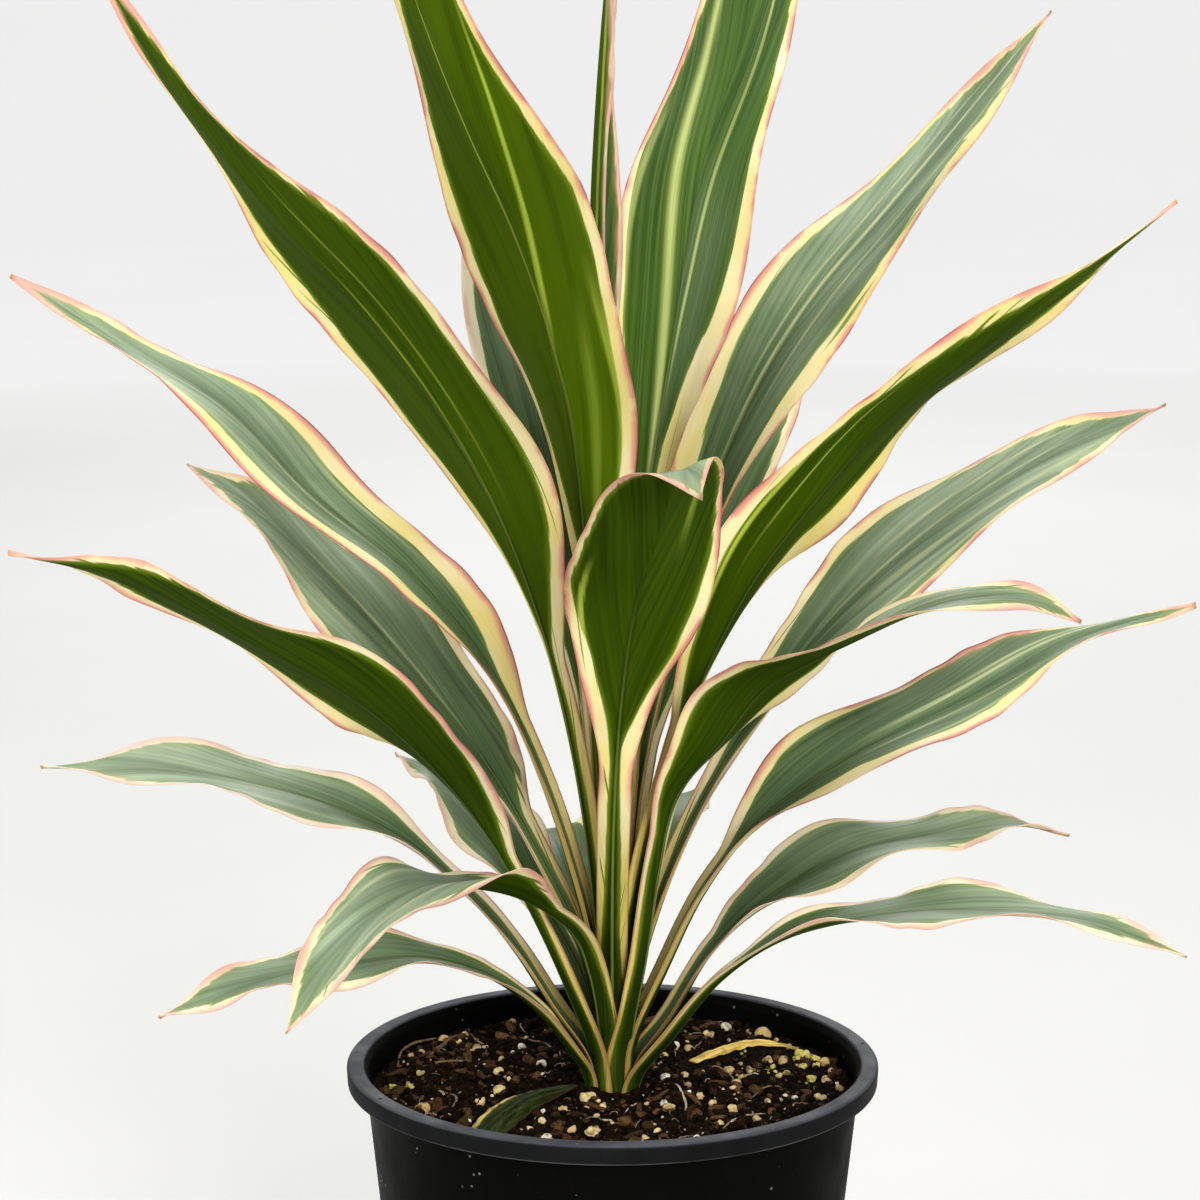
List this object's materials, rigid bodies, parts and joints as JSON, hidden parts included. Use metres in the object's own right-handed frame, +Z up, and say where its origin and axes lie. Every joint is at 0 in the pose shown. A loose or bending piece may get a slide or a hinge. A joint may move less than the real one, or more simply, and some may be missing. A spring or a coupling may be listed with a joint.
{
  "type": "potted cordyline",
  "caption": "Potted foliage plant: a rosette of long variegated strap leaves with wavy edges on a short stem, in a round tapered nursery pot.",
  "frame": {"origin": "centre of the pot's flat underside", "axes": "+Z up along the stem, -Y towards the plant's front as pictured, +X to its right"},
  "size_m": [0.4963, 0.404, 0.6965],
  "materials": {
    "pot_plastic": "matte, lightly scuffed",
    "compost": "crumbly and rough, with pale grit",
    "stem": "fibrous leaf bases",
    "leaf": "satin, green with cream margins and a thin pink edge",
    "faded_leaf": "dull and fading",
    "dry_leaf": "dry and papery"
  },
  "bodies": {
    "root": {"pot": "pot_plastic", "soil": "compost", "stem": "stem", "cut_leaf_piece": "faded_leaf", "dry_leaf_strip": "dry_leaf", "leaf_back_left_pale": "leaf", "leaf_back_left_tall": "leaf", "leaf_back_low": "leaf", "leaf_back_low_left": "leaf", "leaf_back_low_right": "leaf", "leaf_back_mid": "leaf", "leaf_back_right_mid": "leaf", "leaf_back_right_pale": "leaf", "leaf_front_centre": "leaf", "leaf_front_drooping": "leaf", "leaf_front_right_arched": "leaf", "leaf_left_dark": "leaf", "leaf_left_level": "leaf", "leaf_left_pale": "leaf", "leaf_left_tall_dark": "leaf", "leaf_low_left": "leaf", "leaf_low_right": "leaf", "leaf_right_dark": "leaf", "leaf_right_drooping": "leaf", "leaf_right_long": "leaf", "leaf_right_upper": "leaf", "leaf_spear": "leaf", "leaf_top_left": "leaf", "leaf_top_right": "leaf"}
  },
  "joints": []
}
